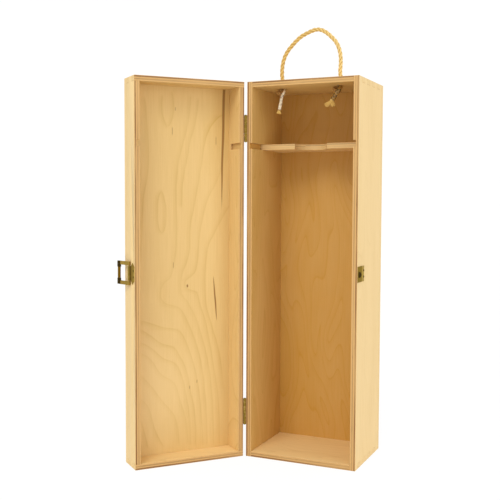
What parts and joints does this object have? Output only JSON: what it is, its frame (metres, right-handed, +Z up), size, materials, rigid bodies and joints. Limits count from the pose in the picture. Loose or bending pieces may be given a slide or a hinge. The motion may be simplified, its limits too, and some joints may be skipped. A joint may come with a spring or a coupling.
{
  "type": "wooden wine box",
  "caption": "Upright plywood bottle box with a hinged lid, finger-jointed corners, a notched neck plate, a brass loop latch and a rope carrying handle.",
  "frame": {"origin": "middle of the closed box's footprint, on the underside", "axes": "+Z up; the open front faces -Y and the lid hangs on the -X side"},
  "size_m": [0.245, 0.1911, 0.4723],
  "materials": {
    "birch_plywood": "bare sanded birch plywood, five plies on the edges",
    "antique_brass": "antiqued, dull, lighter where rubbed",
    "fibre_rope": "three-strand plant-fibre rope, pale and a little hairy",
    "clear_tape": "clear glossy tape"
  },
  "bodies": {
    "case": {"body_hinge_side": "birch_plywood", "body_latch_side": "birch_plywood", "body_top": "birch_plywood", "body_bottom": "birch_plywood", "back_panel": "birch_plywood", "neck_plate": "birch_plywood", "upper_hinge_body_leaf": "antique_brass", "upper_hinge_pin": "antique_brass", "lower_hinge_body_leaf": "antique_brass", "lower_hinge_pin": "antique_brass", "hinge_body_nails": "antique_brass", "strike_plate": "antique_brass", "strike_nails": "antique_brass", "rope_end_left": "fibre_rope", "rope_end_right": "fibre_rope", "tape_wrap_left": "clear_tape", "tape_wrap_right": "clear_tape"},
    "lid": {"lid_hinge_side": "birch_plywood", "lid_latch_side": "birch_plywood", "lid_top": "birch_plywood", "lid_bottom": "birch_plywood", "lid_panel": "birch_plywood", "upper_hinge_lid_leaf": "antique_brass", "lower_hinge_lid_leaf": "antique_brass", "hinge_lid_nails": "antique_brass", "latch_base": "antique_brass", "latch_nails": "antique_brass"},
    "latch": {"latch_loop": "antique_brass"},
    "handle": {"rope_handle": "fibre_rope"}
  },
  "joints": [
    {"name": "lid_hinge", "type": "hinge", "parent": "case", "child": "lid", "pos_m": [-0.06465, -0.03015, 0.207], "axis": [0, 0, 1], "range_deg": [-50, 130]},
    {"name": "latch_pivot", "type": "hinge", "parent": "lid", "child": "latch", "pos_m": [-0.15832, -0.12054, 0.208], "axis": [0, 0, 1], "range_deg": [-10.5, 162.5]},
    {"name": "handle_swing", "type": "hinge", "parent": "case", "child": "handle", "pos_m": [0, 0, 0.4167], "axis": [1, 0, 0], "range_deg": [-80, 80], "stiffness_Nm_per_rad": 0.01}
  ]
}
